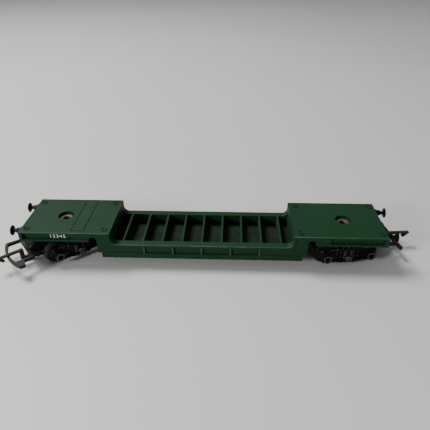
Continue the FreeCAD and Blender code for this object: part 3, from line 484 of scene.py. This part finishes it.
def green_paint(name, settings, edge):
    """Brushed green paint: chalked on top, streaked down the sides, dirty in the well, with painted shade
    in the grooves of the decks, and painted highlights on the ribs and along the decks' side lips, broken
    up by lighter blots that are partly scuffs. On the rounded edges the paint also wears through to a
    lighter green, with more bare flecks."""
    material, tree, surface, place = new_material(name, Specular_IOR_Level=0.14)
    split = put(tree, "ShaderNodeSeparateXYZ", Vector=place)
    across, height = calculate(tree, "ABSOLUTE", split.outputs[1]), split.outputs[2]
    upward = upward_share(tree)
    top = ramp(tree, upward, 0.6, 0.95)

    cloud = put(tree, "ShaderNodeTexNoise", Vector=place, Scale=55.0, Detail=5.0, Roughness=0.6)
    streaks = put(
        tree, "ShaderNodeTexNoise", Vector=stretched(tree, place, (1.0, 1.0, 0.09)), Scale=900.0,
        Detail=3.0,
    )
    side = ramp(tree, calculate(tree, "ABSOLUTE", upward), 0.2, 0.6, 1.0, 0.0)
    streak = product(tree, side, ramp(tree, streaks.outputs[0], 0.38, 0.72))
    chalk = product(tree, top, ramp(tree, cloud.outputs[0], 0.2, 0.75, 0.35, 1.0))
    fade = calculate(tree, "MAXIMUM", product(tree, streak, 0.9), chalk, True)
    colour = mixed(tree, fade, settings.green, settings.faded)

    depth = ramp(tree, height, RAIL_TOP, RAIL_TOP - WELL_DEPTH)
    inside = ramp(tree, across, WELL_HALF_WIDTH + 0.2 * MM, WELL_HALF_WIDTH - 0.2 * MM)
    dirt_noise = put(
        tree, "ShaderNodeTexNoise", Vector=place, Scale=240.0, Detail=6.0, Roughness=0.7
    )
    patches = ramp(tree, dirt_noise.outputs[0], 0.3, 0.62, 0.35, 0.95)
    dirty = product(tree, product(tree, depth, inside), patches)
    colour = mixed(tree, dirty, colour, settings.dirt)

    # Painted highlight: the upward-leaning faces along the decks' side lips, and the outermost faces of the
    # girder's ribs, are painted lighter where light catches them.
    rim = ramp(tree, across, BODY_HIGH.y - 0.45 * MM, BODY_HIGH.y - 0.25 * MM)
    lip = product(tree, rim, ramp(tree, upward, 0.1, 0.4, 0.0, 0.55))
    outermost = ramp(tree, across, BODY_HIGH.y - 0.2 * MM, BODY_HIGH.y - 0.05 * MM)
    proud = product(tree, outermost, band(tree, height, RIB_FOOT, RIB_HEAD, 0.1 * MM, 0.1 * MM))
    rubbed_and_highlighted = calculate(tree, "MAXIMUM", lip, product(tree, proud, 0.6))
    colour = mixed(tree, rubbed_and_highlighted, colour, settings.worn_and_highlight)
    # Blots of a still lighter colour break up the lips' painted highlight; they are partly scuffing and partly
    # painted highlight.
    scuffs = use(tree, "blots", Vector=stretched(tree, place, (0.3, 1.0, 1.0)), Scale=600.0,
                 Cover=settings.wear, Softness=0.2)
    colour = mixed(tree, product(tree, lip, scuffs.outputs[0]), colour, SCUFF_AND_HIGHLIGHT)

    # Painted shade: the upward faces just below the deck top, in the grooves, are darkened.
    groove = band(tree, height, DECK_TOP - 0.35 * MM, DECK_TOP - 0.125 * MM, 0.05 * MM, 0.075 * MM)
    colour = mixed(tree, product(tree, groove, top), colour, GROOVE_SHADE)
    if edge:
        rub = use(tree, "blots", Vector=place, Scale=420.0, Cover=settings.wear, Softness=0.25)
        colour = mixed(tree, rub.outputs[0], colour, settings.worn_and_highlight)
    chips = use(tree, "blots", Vector=place, Scale=1500.0 if edge else 900.0,
                Cover=0.40 * settings.wear + 0.12 if edge else 0.12, Softness=0.06)
    colour = mixed(tree, chips.outputs[0], colour, BARE_FLECK)
    feed(tree, surface.inputs["Base Color"], colour)

    rough = ramp(tree, cloud.outputs[0], 0.3, 0.7, 0.48, 0.62)
    rough = calculate(tree, "ADD", rough, product(tree, dirty, 0.35), True)
    feed(tree, surface.inputs["Roughness"], rough)
    grain = use(tree, "surface_grain", Vector=place, Scale=1800.0, Height=0.00001)
    brush = product(tree, streak, 0.00001)
    bump(tree, surface, calculate(tree, "ADD", grain.outputs[0], brush))
    return material


def black_moulding(name, settings, dust_amount=0.35, gloss=0.5, scale=420.0, specular=0.10):
    """Black moulded parts with settled dust. Gloss is the middle of their roughness."""
    material, tree, surface, place = new_material(name, Specular_IOR_Level=specular)
    dusted = use(tree, "settled_dust", Vector=place, Colour=settings.black, Dust=settings.dust,
                 Amount=dust_amount, Scale=scale)
    feed(tree, surface.inputs["Base Color"], dusted.outputs[0])
    noise = put(tree, "ShaderNodeTexNoise", Vector=place, Scale=700.0, Detail=4.0)
    rough = ramp(tree, noise.outputs[0], 0.3, 0.7, gloss - 0.1, gloss + 0.1)
    more = product(tree, dusted.outputs[1], 0.5)
    feed(tree, surface.inputs["Roughness"], calculate(tree, "ADD", rough, more, True))
    grain = use(tree, "surface_grain", Vector=place, Scale=2400.0, Height=0.000012)
    bump(tree, surface, grain.outputs[0])
    return material


def rusted_steel(name, base, rust, cover, metallic, gloss=0.5):
    """Blackened or bare steel that has browned in blots, of which cover says how many. Gloss sets
    the roughness of what is left bright."""
    material, tree, surface, place = new_material(name, Specular_IOR_Level=0.22)
    blots = use(tree, "blots", Vector=place, Scale=650.0, Cover=cover, Softness=0.22)
    tone = put(tree, "ShaderNodeTexNoise", Vector=place, Scale=1600.0, Detail=4.0)
    brown = mixed(tree, ramp(tree, tone.outputs[0], 0.35, 0.65), rust, tuple(0.45 * c for c in rust))
    feed(tree, surface.inputs["Base Color"], mixed(tree, blots.outputs[0], base, brown))
    feed(tree, surface.inputs["Metallic"], ramp(tree, blots.outputs[0], 0.0, 1.0, metallic, 0.0))
    feed(tree, surface.inputs["Roughness"], ramp(tree, blots.outputs[0], 0.0, 1.0, gloss - 0.15, 0.85))
    grain = use(tree, "surface_grain", Vector=place, Scale=3000.0, Height=0.00001)
    bump(tree, surface, grain.outputs[0])
    return material


def number_paint(name, settings):
    """Off-white transfer ink, thin in places so that green shows through."""
    material, tree, surface, place = new_material(name, Roughness=0.55)
    thin = use(tree, "blots", Vector=place, Scale=1800.0, Cover=0.34, Softness=0.2)
    ink = mixed(tree, thin.outputs[0], settings.number_white, settings.faded)
    feed(tree, surface.inputs["Base Color"], ink)
    grain = use(tree, "surface_grain", Vector=place, Scale=2500.0, Height=0.000005)
    bump(tree, surface, grain.outputs[0])
    return material


def finished(made, body, slot, *materials):
    """Dresses a piece and seats it on its CAD body. Its slot argument is not used."""
    made.data.materials.clear()
    for material in materials:
        made.data.materials.append(material)
    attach(made, body)
    return made


def dress_node(node, material):
    """Gives a CAD node that stays as it is a better material."""
    mesh = frame["nodes"][node].data
    mesh.materials.clear()
    mesh.materials.append(material)


# ---------------------------------------------------------------------------------------------
# Operators
# ---------------------------------------------------------------------------------------------


class WAGON_OT_stage(bpy.types.Operator):
    """Makes the camera, the plain pale floor and the soft light"""

    bl_idname = "wagon.stage"
    bl_label = "Camera, floor and light"

    def execute(self, context):
        settings = context.scene.wagon_stage
        view = bpy.data.cameras.new("camera")
        view.sensor_width, view.lens = 36.0, settings.lens
        view.clip_start, view.clip_end = 0.005, 20.0
        camera = bpy.data.objects.new("camera", view)
        turn = (
            Matrix.Rotation(settings.yaw, 4, "Z")
            @ Matrix.Rotation(math.pi / 2 - settings.pitch, 4, "X")
            @ Matrix.Rotation(settings.roll, 4, "Z")
        )
        camera.matrix_world = Matrix.Translation(settings.camera_place) @ turn
        context.scene.collection.objects.link(camera)
        context.scene.camera = camera
        self.add_floor(settings)
        self.add_light("key_light", (-0.60, 0.32, 1.00), 0.50, settings.key_power)
        fill_power = settings.key_power * 0.42
        self.add_light("fill_light", (-0.72, -0.66, 0.42), 0.22, fill_power)
        world = bpy.data.worlds.new("sky")
        world.use_nodes = True
        background = world.node_tree.nodes["Background"]
        background.inputs[0].default_value = (0.93, 0.96, 1.0, 1.0)
        background.inputs[1].default_value = settings.sky
        context.scene.world = world
        return {"FINISHED"}

    def add_floor(self, settings):
        span = 3.0
        corners = [(-span, -span, 0), (span, -span, 0), (span, span, 0), (-span, span, 0)]
        floor = mesh_object("floor", corners, [[0, 1, 2, 3]])
        material, tree, surface, place = new_material("pale_floor", Roughness=0.55)
        cloud = put(tree, "ShaderNodeTexNoise", Vector=place, Scale=3.0, Detail=3.0)
        lighter = tuple(min(1.0, c * 1.05) for c in settings.floor_grey)
        shade = mixed(tree, ramp(tree, cloud.outputs[0], 0.3, 0.7), settings.floor_grey, lighter)
        feed(tree, surface.inputs["Base Color"], shade)
        floor.data.materials.append(material)

    def add_light(self, name, place, size, power):
        lamp = bpy.data.lights.new(name, "AREA")
        lamp.shape, lamp.size, lamp.energy = "DISK", size, power
        light = bpy.data.objects.new(name, lamp)
        light.location = place
        light.rotation_mode = "QUATERNION"
        light.rotation_quaternion = (-Vector(place)).to_track_quat("-Z", "Y")
        bpy.context.scene.collection.objects.link(light)


class WAGON_OT_body(bpy.types.Operator):
    """Paints the body, with its edges softened and scuffed, painted highlights on its ribs and side lips and
    painted shade in its deck grooves
    """

    bl_idname = "wagon.body"
    bl_label = "Body"

    def execute(self, context):
        settings = context.scene.wagon_paint
        body = soft_copy("wagon_body", settings.edge_width)
        paint = green_paint("green_paint", settings, False)
        worn_and_highlight = green_paint("rubbed_green", settings, True)
        finished(body, "wagon", "body_green", paint, worn_and_highlight)
        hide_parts("wagon_body")
        return {"FINISHED"}


class WAGON_OT_number(bpy.types.Operator):
    """Puts a generic running number on the left end of the front solebar"""

    bl_idname = "wagon.number"
    bl_label = "Running number"

    def execute(self, context):
        settings = context.scene.wagon_paint
        height, bolder, film = 1.95 * MM, 0.03 * MM, 0.02 * MM
        digit_share = 0.70  # a digit's height over the font's size
        start = (-78.5 * MM, BODY_LOW.y + SOLEBAR_RECESS, 16.05 * MM)
        text = bpy.data.curves.new("number_text", "FONT")
        text.body, text.size = "12345", height / digit_share
        text.extrude, text.offset = film, bolder
        text.align_x, text.align_y, text.space_character = "LEFT", "BOTTOM", 1.28
        raised = bpy.data.objects.new("number_text", text)
        context.scene.collection.objects.link(raised)
        raised.matrix_world = Matrix.Translation(start) @ Matrix.Rotation(math.pi / 2, 4, "X")
        context.view_layer.update()
        graph = context.evaluated_depsgraph_get()
        mesh = bpy.data.meshes.new_from_object(raised.evaluated_get(graph))
        mesh.transform(raised.matrix_world)
        bpy.data.objects.remove(raised)
        number = bpy.data.objects.new("running_number", mesh)
        context.scene.collection.objects.link(number)
        ink = number_paint("number_ink", settings)
        finished(tidy_mesh(number, smooth=False), "wagon", "body_green", ink)
        return {"FINISHED"}


class WAGON_OT_buffers(bpy.types.Operator):
    """Turns the four buffers: a stepped guide, a shank and a head whose dome falls away with the
    square of the distance from the axis"""

    bl_idname = "wagon.buffers"
    bl_label = "Buffers"

    def execute(self, context):
        gear = context.scene.wagon_gear
        material = black_moulding("buffer_black", gear, dust_amount=0.25, gloss=0.36)
        head_radius, head_edge, dome_rise = 2.7, 5.6, 0.4
        stem = round_corners(
            [(0, 0), (2.15, 0), (2.15, 0.6), (1.65, 0.65), (1.6, 2.0), (1.4, 3.1), (0.95, 3.1),
             (0.95, 4.5), (1.4, 4.75), (2.4, 5.1), (head_radius, 5.2), (head_radius, head_edge)],
            0.12,
        )
        left = 1 - np.linspace(0.0, 1.0, 9)[1:]
        dome = np.stack([head_radius * left, head_edge + dome_rise * (1 - left**2)], 1)
        profile = np.concatenate([stem, dome]) * MM
        for end, sign in (("left", -1), ("right", 1)):
            for face in ("front", "rear"):
                node = "%s_%s_buffer" % (end, face)
                low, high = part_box(node)
                middle = (low + high) / 2
                root = (sign * BODY_HIGH.x, middle.y, middle.z)
                made = lathe(node + "_turned", profile, root, (sign, 0, 0))
                finished(made, "wagon", "buffer_black", material)
                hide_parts(node)
        return {"FINISHED"}


class WAGON_OT_swivels(bpy.types.Operator):
    """Rolls the two eyelets that hold the bogies, and dresses their washers"""

    bl_idname = "wagon.swivels"
    bl_label = "Swivels"

    def execute(self, context):
        gear = context.scene.wagon_gear
        tarnish = (0.07, 0.05, 0.035)
        copper = rusted_steel("eyelet_copper", gear.copper, tarnish, cover=0.45, metallic=0.4)
        steel = rusted_steel("washer_steel", gear.steel, gear.rust, cover=0.4, metallic=0.8)
        for bogie in BOGIES:
            node = bogie + "_pivot_eyelet"
            low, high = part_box(node)
            centre = ((low.x + high.x) / 2, (low.y + high.y) / 2, 0.0)
            base, top = low.z / MM, high.z / MM
            profile = round_corners(
                [(1.75, base), (3.2, base), (3.25, base + 0.55), (2.3, base + 0.6), (2.3, top - 0.6),
                 (3.75, top - 0.6), (3.7, top - 0.1), (2.9, top), (1.95, top - 0.1), (1.75, top - 0.7)],
                0.3, 5, closed=True,
            )
            made = lathe(node + "_rolled", profile * MM, centre, (0, 0, 1), closed=True)
            finished(made, "wagon", "eyelet_copper", copper)
            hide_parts(node)
            dress_node(bogie + "_pivot_washer", steel)
        return {"FINISHED"}


class WAGON_OT_bogie_frames(bpy.types.Operator):
    """Softens the bogie frames and adds their bolt heads, bosses and axle box rims"""

    bl_idname = "wagon.bogie_frames"
    bl_label = "Bogie frames"

    def execute(self, context):
        gear = context.scene.wagon_gear
        material = black_moulding("bogie_black", gear)
        # The edge strips, bolt heads, bosses and axle box rims take heavier settled dust. This is partly real dust
        # and partly a painted highlight that lightens them. They also get a glossier, more specular finish.
        rubbed_and_highlighted = black_moulding(
            "bogie_black_edge", gear, dust_amount=0.9, gloss=0.28, scale=900.0, specular=0.8
        )
        for bogie in BOGIES:
            node = bogie + "_bogie_frame"
            made = soft_copy(node, 0.14 * MM)
            finished(made, bogie + "_bogie", "bogie_black", material, rubbed_and_highlighted)
            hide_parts(node)
            matrix = bogie_matrix(bogie)
            self.add_bolts(bogie, matrix, rubbed_and_highlighted)
            self.add_rims(bogie, matrix, rubbed_and_highlighted)
        return {"FINISHED"}

    def add_bolts(self, bogie, matrix, material):
        """Heads on both side frames, each (along, height, face, radius) and domed as a quarter of an
        ellipse that is 0.7 times as high as it is wide."""
        sides, sunk = 12, 0.02
        heads = [(2.5, 3.1, 14.5, 0.55)]
        for sign in (-1, 1):
            heads += [(sign * 4.5, 6.4, 13.6, 0.42), (sign * 4.5, 9.3, 13.6, 0.42)]
            heads += [(sign * x, 11.1, 13.6, 0.45) for x in (6.4, 8.4, 9.8)]
            heads += [(sign * x, 12.9, 14.5, 0.42) for x in (1.4, 4.2)]
            heads += [(sign * 14.3, 10.6, 13.6, 0.42), (sign * 13.4, 8.7, 13.6, 0.36)]
        rise = np.linspace(0, math.pi / 2, 5)
        dome = np.stack([np.cos(rise), np.sin(rise) * 0.7], 1)
        vertices, faces, count = [], [], 0
        for face_sign in (-1, 1):
            for along, height, face, radius in heads:
                centre = (along, face_sign * (face - sunk), height)
                points = lathe_points(dome * radius, centre, (0, face_sign, 0), sides)
                vertices.append(points.reshape(-1, 3))
                faces += grid_faces(sides, len(dome), True, False, count)
                faces.append([count + k * len(dome) for k in range(sides)])
                count += sides * len(dome)
        bolts = mesh_object(bogie + "_bogie_bolts", carried(np.concatenate(vertices), matrix), faces)
        finished(tidy_mesh(bolts), bogie + "_bogie", "bogie_black", material)

    def add_rims(self, bogie, matrix, material):
        """A rolled rim round the bore of each axle box, and a round boss under the springs."""
        rim = round_corners(
            [(1.3, 14.2), (2.35, 14.2), (2.35, 15.15), (2.2, 15.35), (1.5, 15.35), (1.3, 15.2)],
            0.2, 4, closed=True,
        )
        boss = round_corners([(0, 14.4), (1.8, 14.4), (1.8, 15.0), (1.5, 15.2), (0, 15.2)], 0.2)
        turn = np.array(matrix.to_3x3())
        for letter, face_sign in (("a", 1), ("b", -1)):
            axis = turn @ np.array([0, face_sign, 0])
            for position, along in zip(WHEELSETS, (AXLE_ALONG, -AXLE_ALONG)):
                centre = carried([(along, 0, AXLE_HEIGHT)], matrix)[0]
                name = "%s_%s_box_rim_%s" % (bogie, position, letter)
                made = lathe(name, rim * MM, centre, axis, 48, closed=True)
                finished(made, bogie + "_bogie", "bogie_black", material)
            centre = carried([(-0.2, 0, 5.4)], matrix)[0]
            made = lathe("%s_bogie_boss_%s" % (bogie, letter), boss[::-1] * MM, centre, axis, 40)
            finished(made, bogie + "_bogie", "bogie_black", material)


class WAGON_OT_springs(bpy.types.Operator):
    """Winds the eight coil springs of the bogies: round wire along a helix, which climbs evenly
    with the angle"""

    bl_idname = "wagon.springs"
    bl_label = "Springs"

    def execute(self, context):
        gear = context.scene.wagon_gear
        material = black_moulding(
            "spring_black", gear, dust_amount=0.8, gloss=0.35, scale=600.0, specular=0.4
        )
        coil, low, high, per_turn = 1.42, 5.35, 10.25, 28
        turn = np.linspace(0, gear.spring_turns, gear.spring_turns * per_turn)
        angle = turn * 2 * math.pi
        height = low + (high - low) * turn / gear.spring_turns
        section = circle_section(gear.spring_wire / MM / 2, 10)
        for bogie in BOGIES:
            matrix = bogie_matrix(bogie)
            for face, face_sign in (("a", 1), ("b", -1)):
                vertices, faces, count = [], [], 0
                for x in (-SPRING_ALONG, SPRING_ALONG):
                    y = face_sign * SPRING_ACROSS
                    path = np.stack([x + coil * np.cos(angle), y + coil * np.sin(angle), height], 1)
                    points = tube_points(path, section, np.array([0.0, 0.0, 1.0]))
                    vertices.append(points.reshape(-1, 3))
                    faces += grid_faces(len(path), len(section), False, True, count)
                    last = count + (len(path) - 1) * len(section)
                    faces += [list(range(k, k + len(section))) for k in (count, last)]
                    count += len(path) * len(section)
                points = carried(np.concatenate(vertices), matrix)
                made = mesh_object("%s_springs_%s" % (bogie, face), points, faces)
                finished(tidy_mesh(made), bogie + "_bogie", "bogie_black", material)
        return {"FINISHED"}


class WAGON_OT_wheelsets(bpy.types.Operator):
    """Turns the eight wheels and the four pinpoint axles"""

    bl_idname = "wagon.wheelsets"
    bl_label = "Wheelsets"

    def execute(self, context):
        gear = context.scene.wagon_gear
        wheel_black = black_moulding(
            "wheel_black", gear, dust_amount=0.9, gloss=0.42, scale=500.0, specular=0.3
        )
        steel = rusted_steel(
            "axle_steel", gear.steel, gear.rust, cover=0.35, metallic=0.9, gloss=0.45
        )
        wheel = round_corners(
            [(1.0, 7.0), (6.05, 7.0), (6.25, 7.25), (6.25, 7.5), (5.75, 7.85), (5.57, 9.55),
             (5.45, 9.7), (4.75, 9.7), (4.6, 9.1), (4.2, 8.95), (2.3, 9.05), (1.95, 9.2), (1.9, 9.7),
             (1.0, 9.7)],
            0.16, 4, closed=True,
        )
        axle = round_corners(
            [(0, -13.2), (0.3, -13.2), (1.0, -12.3), (1.0, 12.3), (0.3, 13.2), (0, 13.2)], 0.1
        )
        for bogie in BOGIES:
            for position in WHEELSETS:
                joint = joint_named("%s_%s_wheel_spin" % (bogie, position))
                name = "%s_%s" % (bogie, position)
                body = name + "_wheelset"
                centre, axis = np.array(joint["pos_m"]), np.array(joint["axis"])
                made = lathe(name + "_axle_turned", axle * MM, centre, axis, 32)
                finished(made, body, "axle_steel", steel)
                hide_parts(name + "_axle")
                for letter in "ab":
                    node = "%s_wheel_%s" % (name, letter)
                    low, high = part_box(node)
                    outwards = np.array((low + high) / 2) - centre
                    way = axis if outwards @ axis > 0 else -axis
                    made = lathe(node + "_turned", wheel * MM, centre, way, 96, closed=True)
                    finished(made, body, "wheel_black", wheel_black)
                    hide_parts(node)
        return {"FINISHED"}


class WAGON_OT_couplings(bpy.types.Operator):
    """Softens the loops and hooks, and turns their pins and rivets"""

    bl_idname = "wagon.couplings"
    bl_label = "Couplings"

    def execute(self, context):
        gear = context.scene.wagon_gear
        loop_steel = rusted_steel(
            "coupling_black", (0.014, 0.012, 0.010), gear.rust, cover=0.40, metallic=0.0, gloss=0.75
        )
        hook_steel = rusted_steel(
            "hook_rust", (0.030, 0.027, 0.025), gear.rust, cover=0.72, metallic=0.0, gloss=0.6
        )
        rivet_steel = rusted_steel(
            "rivet_steel", (0.09, 0.085, 0.08), gear.rust, cover=0.5, metallic=0.7, gloss=0.45
        )
        for bogie in BOGIES:
            matrix = bogie_matrix(bogie)
            loop = soft_copy(bogie + "_coupling_loop", 0.2 * MM, worn_slot=False, segments=3)
            finished(loop, bogie + "_bogie", "coupling_black", loop_steel)
            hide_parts(bogie + "_coupling_loop")
            hook = soft_copy(bogie + "_coupling_hook", 0.18 * MM, worn_slot=False, segments=3)
            finished(hook, bogie + "_hook", "hook_rust", hook_steel)
            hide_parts(bogie + "_coupling_hook")
            self.add_pin(bogie, matrix, rivet_steel)
            self.add_rivet(bogie, matrix, rivet_steel)
        return {"FINISHED"}

    def add_pin(self, bogie, matrix, material):
        """A pin with both of its ends spread over."""
        profile = round_corners(
            [(0, -2.05), (0.7, -2.05), (0.7, -1.85), (0.5, -1.8), (0.5, 1.8), (0.7, 1.85), (0.7, 2.05),
             (0, 2.05)],
            0.1,
        )
        centre = carried([HOOK_PIN], matrix)[0]
        axis = np.array(matrix.to_3x3()) @ np.array([0, 1, 0])
        made = lathe(bogie + "_hook_pin_turned", profile * MM, centre, axis, 24)
        finished(made, bogie + "_bogie", "rivet_steel", material)
        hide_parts(bogie + "_hook_pin")

    def add_rivet(self, bogie, matrix, material):
        """A rivet with a flat head below and, above, one domed as a quarter of an ellipse."""
        head_radius, head_foot, head_rise = 1.4, 9.4, 0.6
        rise = np.linspace(0, math.pi / 2, 8)
        dome = np.stack([head_radius * np.cos(rise), head_foot + head_rise * np.sin(rise)], 1)
        foot = np.array([(0, 6.54), (1.1, 6.54), (1.35, 6.7), (1.35, 6.9), (0.8, 6.92), (0.8, 9.38)])
        profile = np.concatenate([foot, dome]) * MM
        centre = carried([COUPLING_RIVET], matrix)[0]
        made = lathe(bogie + "_coupling_rivet_turned", profile, centre, (0, 0, 1), 32)
        finished(made, bogie + "_bogie", "rivet_steel", material)
        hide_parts(bogie + "_coupling_rivet")


class WAGON_PT_panel(bpy.types.Panel):
    """Lists the steps that build the wagon's looks"""

    bl_label = "Well Wagon"
    bl_space_type = "VIEW_3D"
    bl_region_type = "UI"
    bl_category = "Well Wagon"

    def draw(self, context):
        for operator in OPERATORS:
            self.layout.operator(operator.bl_idname)
        for name in SETTINGS:
            group = getattr(context.scene, name)
            box = self.layout.box()
            for label in group.__annotations__:
                box.prop(group, label)


OPERATORS = (
    WAGON_OT_stage,
    WAGON_OT_body,
    WAGON_OT_number,
    WAGON_OT_buffers,
    WAGON_OT_swivels,
    WAGON_OT_bogie_frames,
    WAGON_OT_springs,
    WAGON_OT_wheelsets,
    WAGON_OT_couplings,
)
SETTINGS = {
    "wagon_paint": PaintSettings,
    "wagon_gear": RunningGearSettings,
    "wagon_stage": StageSettings,
}


def register():
    for item in (*SETTINGS.values(), *OPERATORS, WAGON_PT_panel):
        bpy.utils.register_class(item)
    for name, group in SETTINGS.items():
        setattr(bpy.types.Scene, name, bpy.props.PointerProperty(type=group))


def unregister():
    for name in SETTINGS:
        delattr(bpy.types.Scene, name)
    for item in reversed((*SETTINGS.values(), *OPERATORS, WAGON_PT_panel)):
        bpy.utils.unregister_class(item)


def main():
    register()
    bpy.ops.wagon.stage()
    bpy.ops.wagon.body()
    bpy.ops.wagon.number()
    bpy.ops.wagon.buffers()
    bpy.ops.wagon.swivels()
    bpy.ops.wagon.bogie_frames()
    bpy.ops.wagon.springs()
    bpy.ops.wagon.wheelsets()
    bpy.ops.wagon.couplings()


if __name__ == "__main__":
    main()
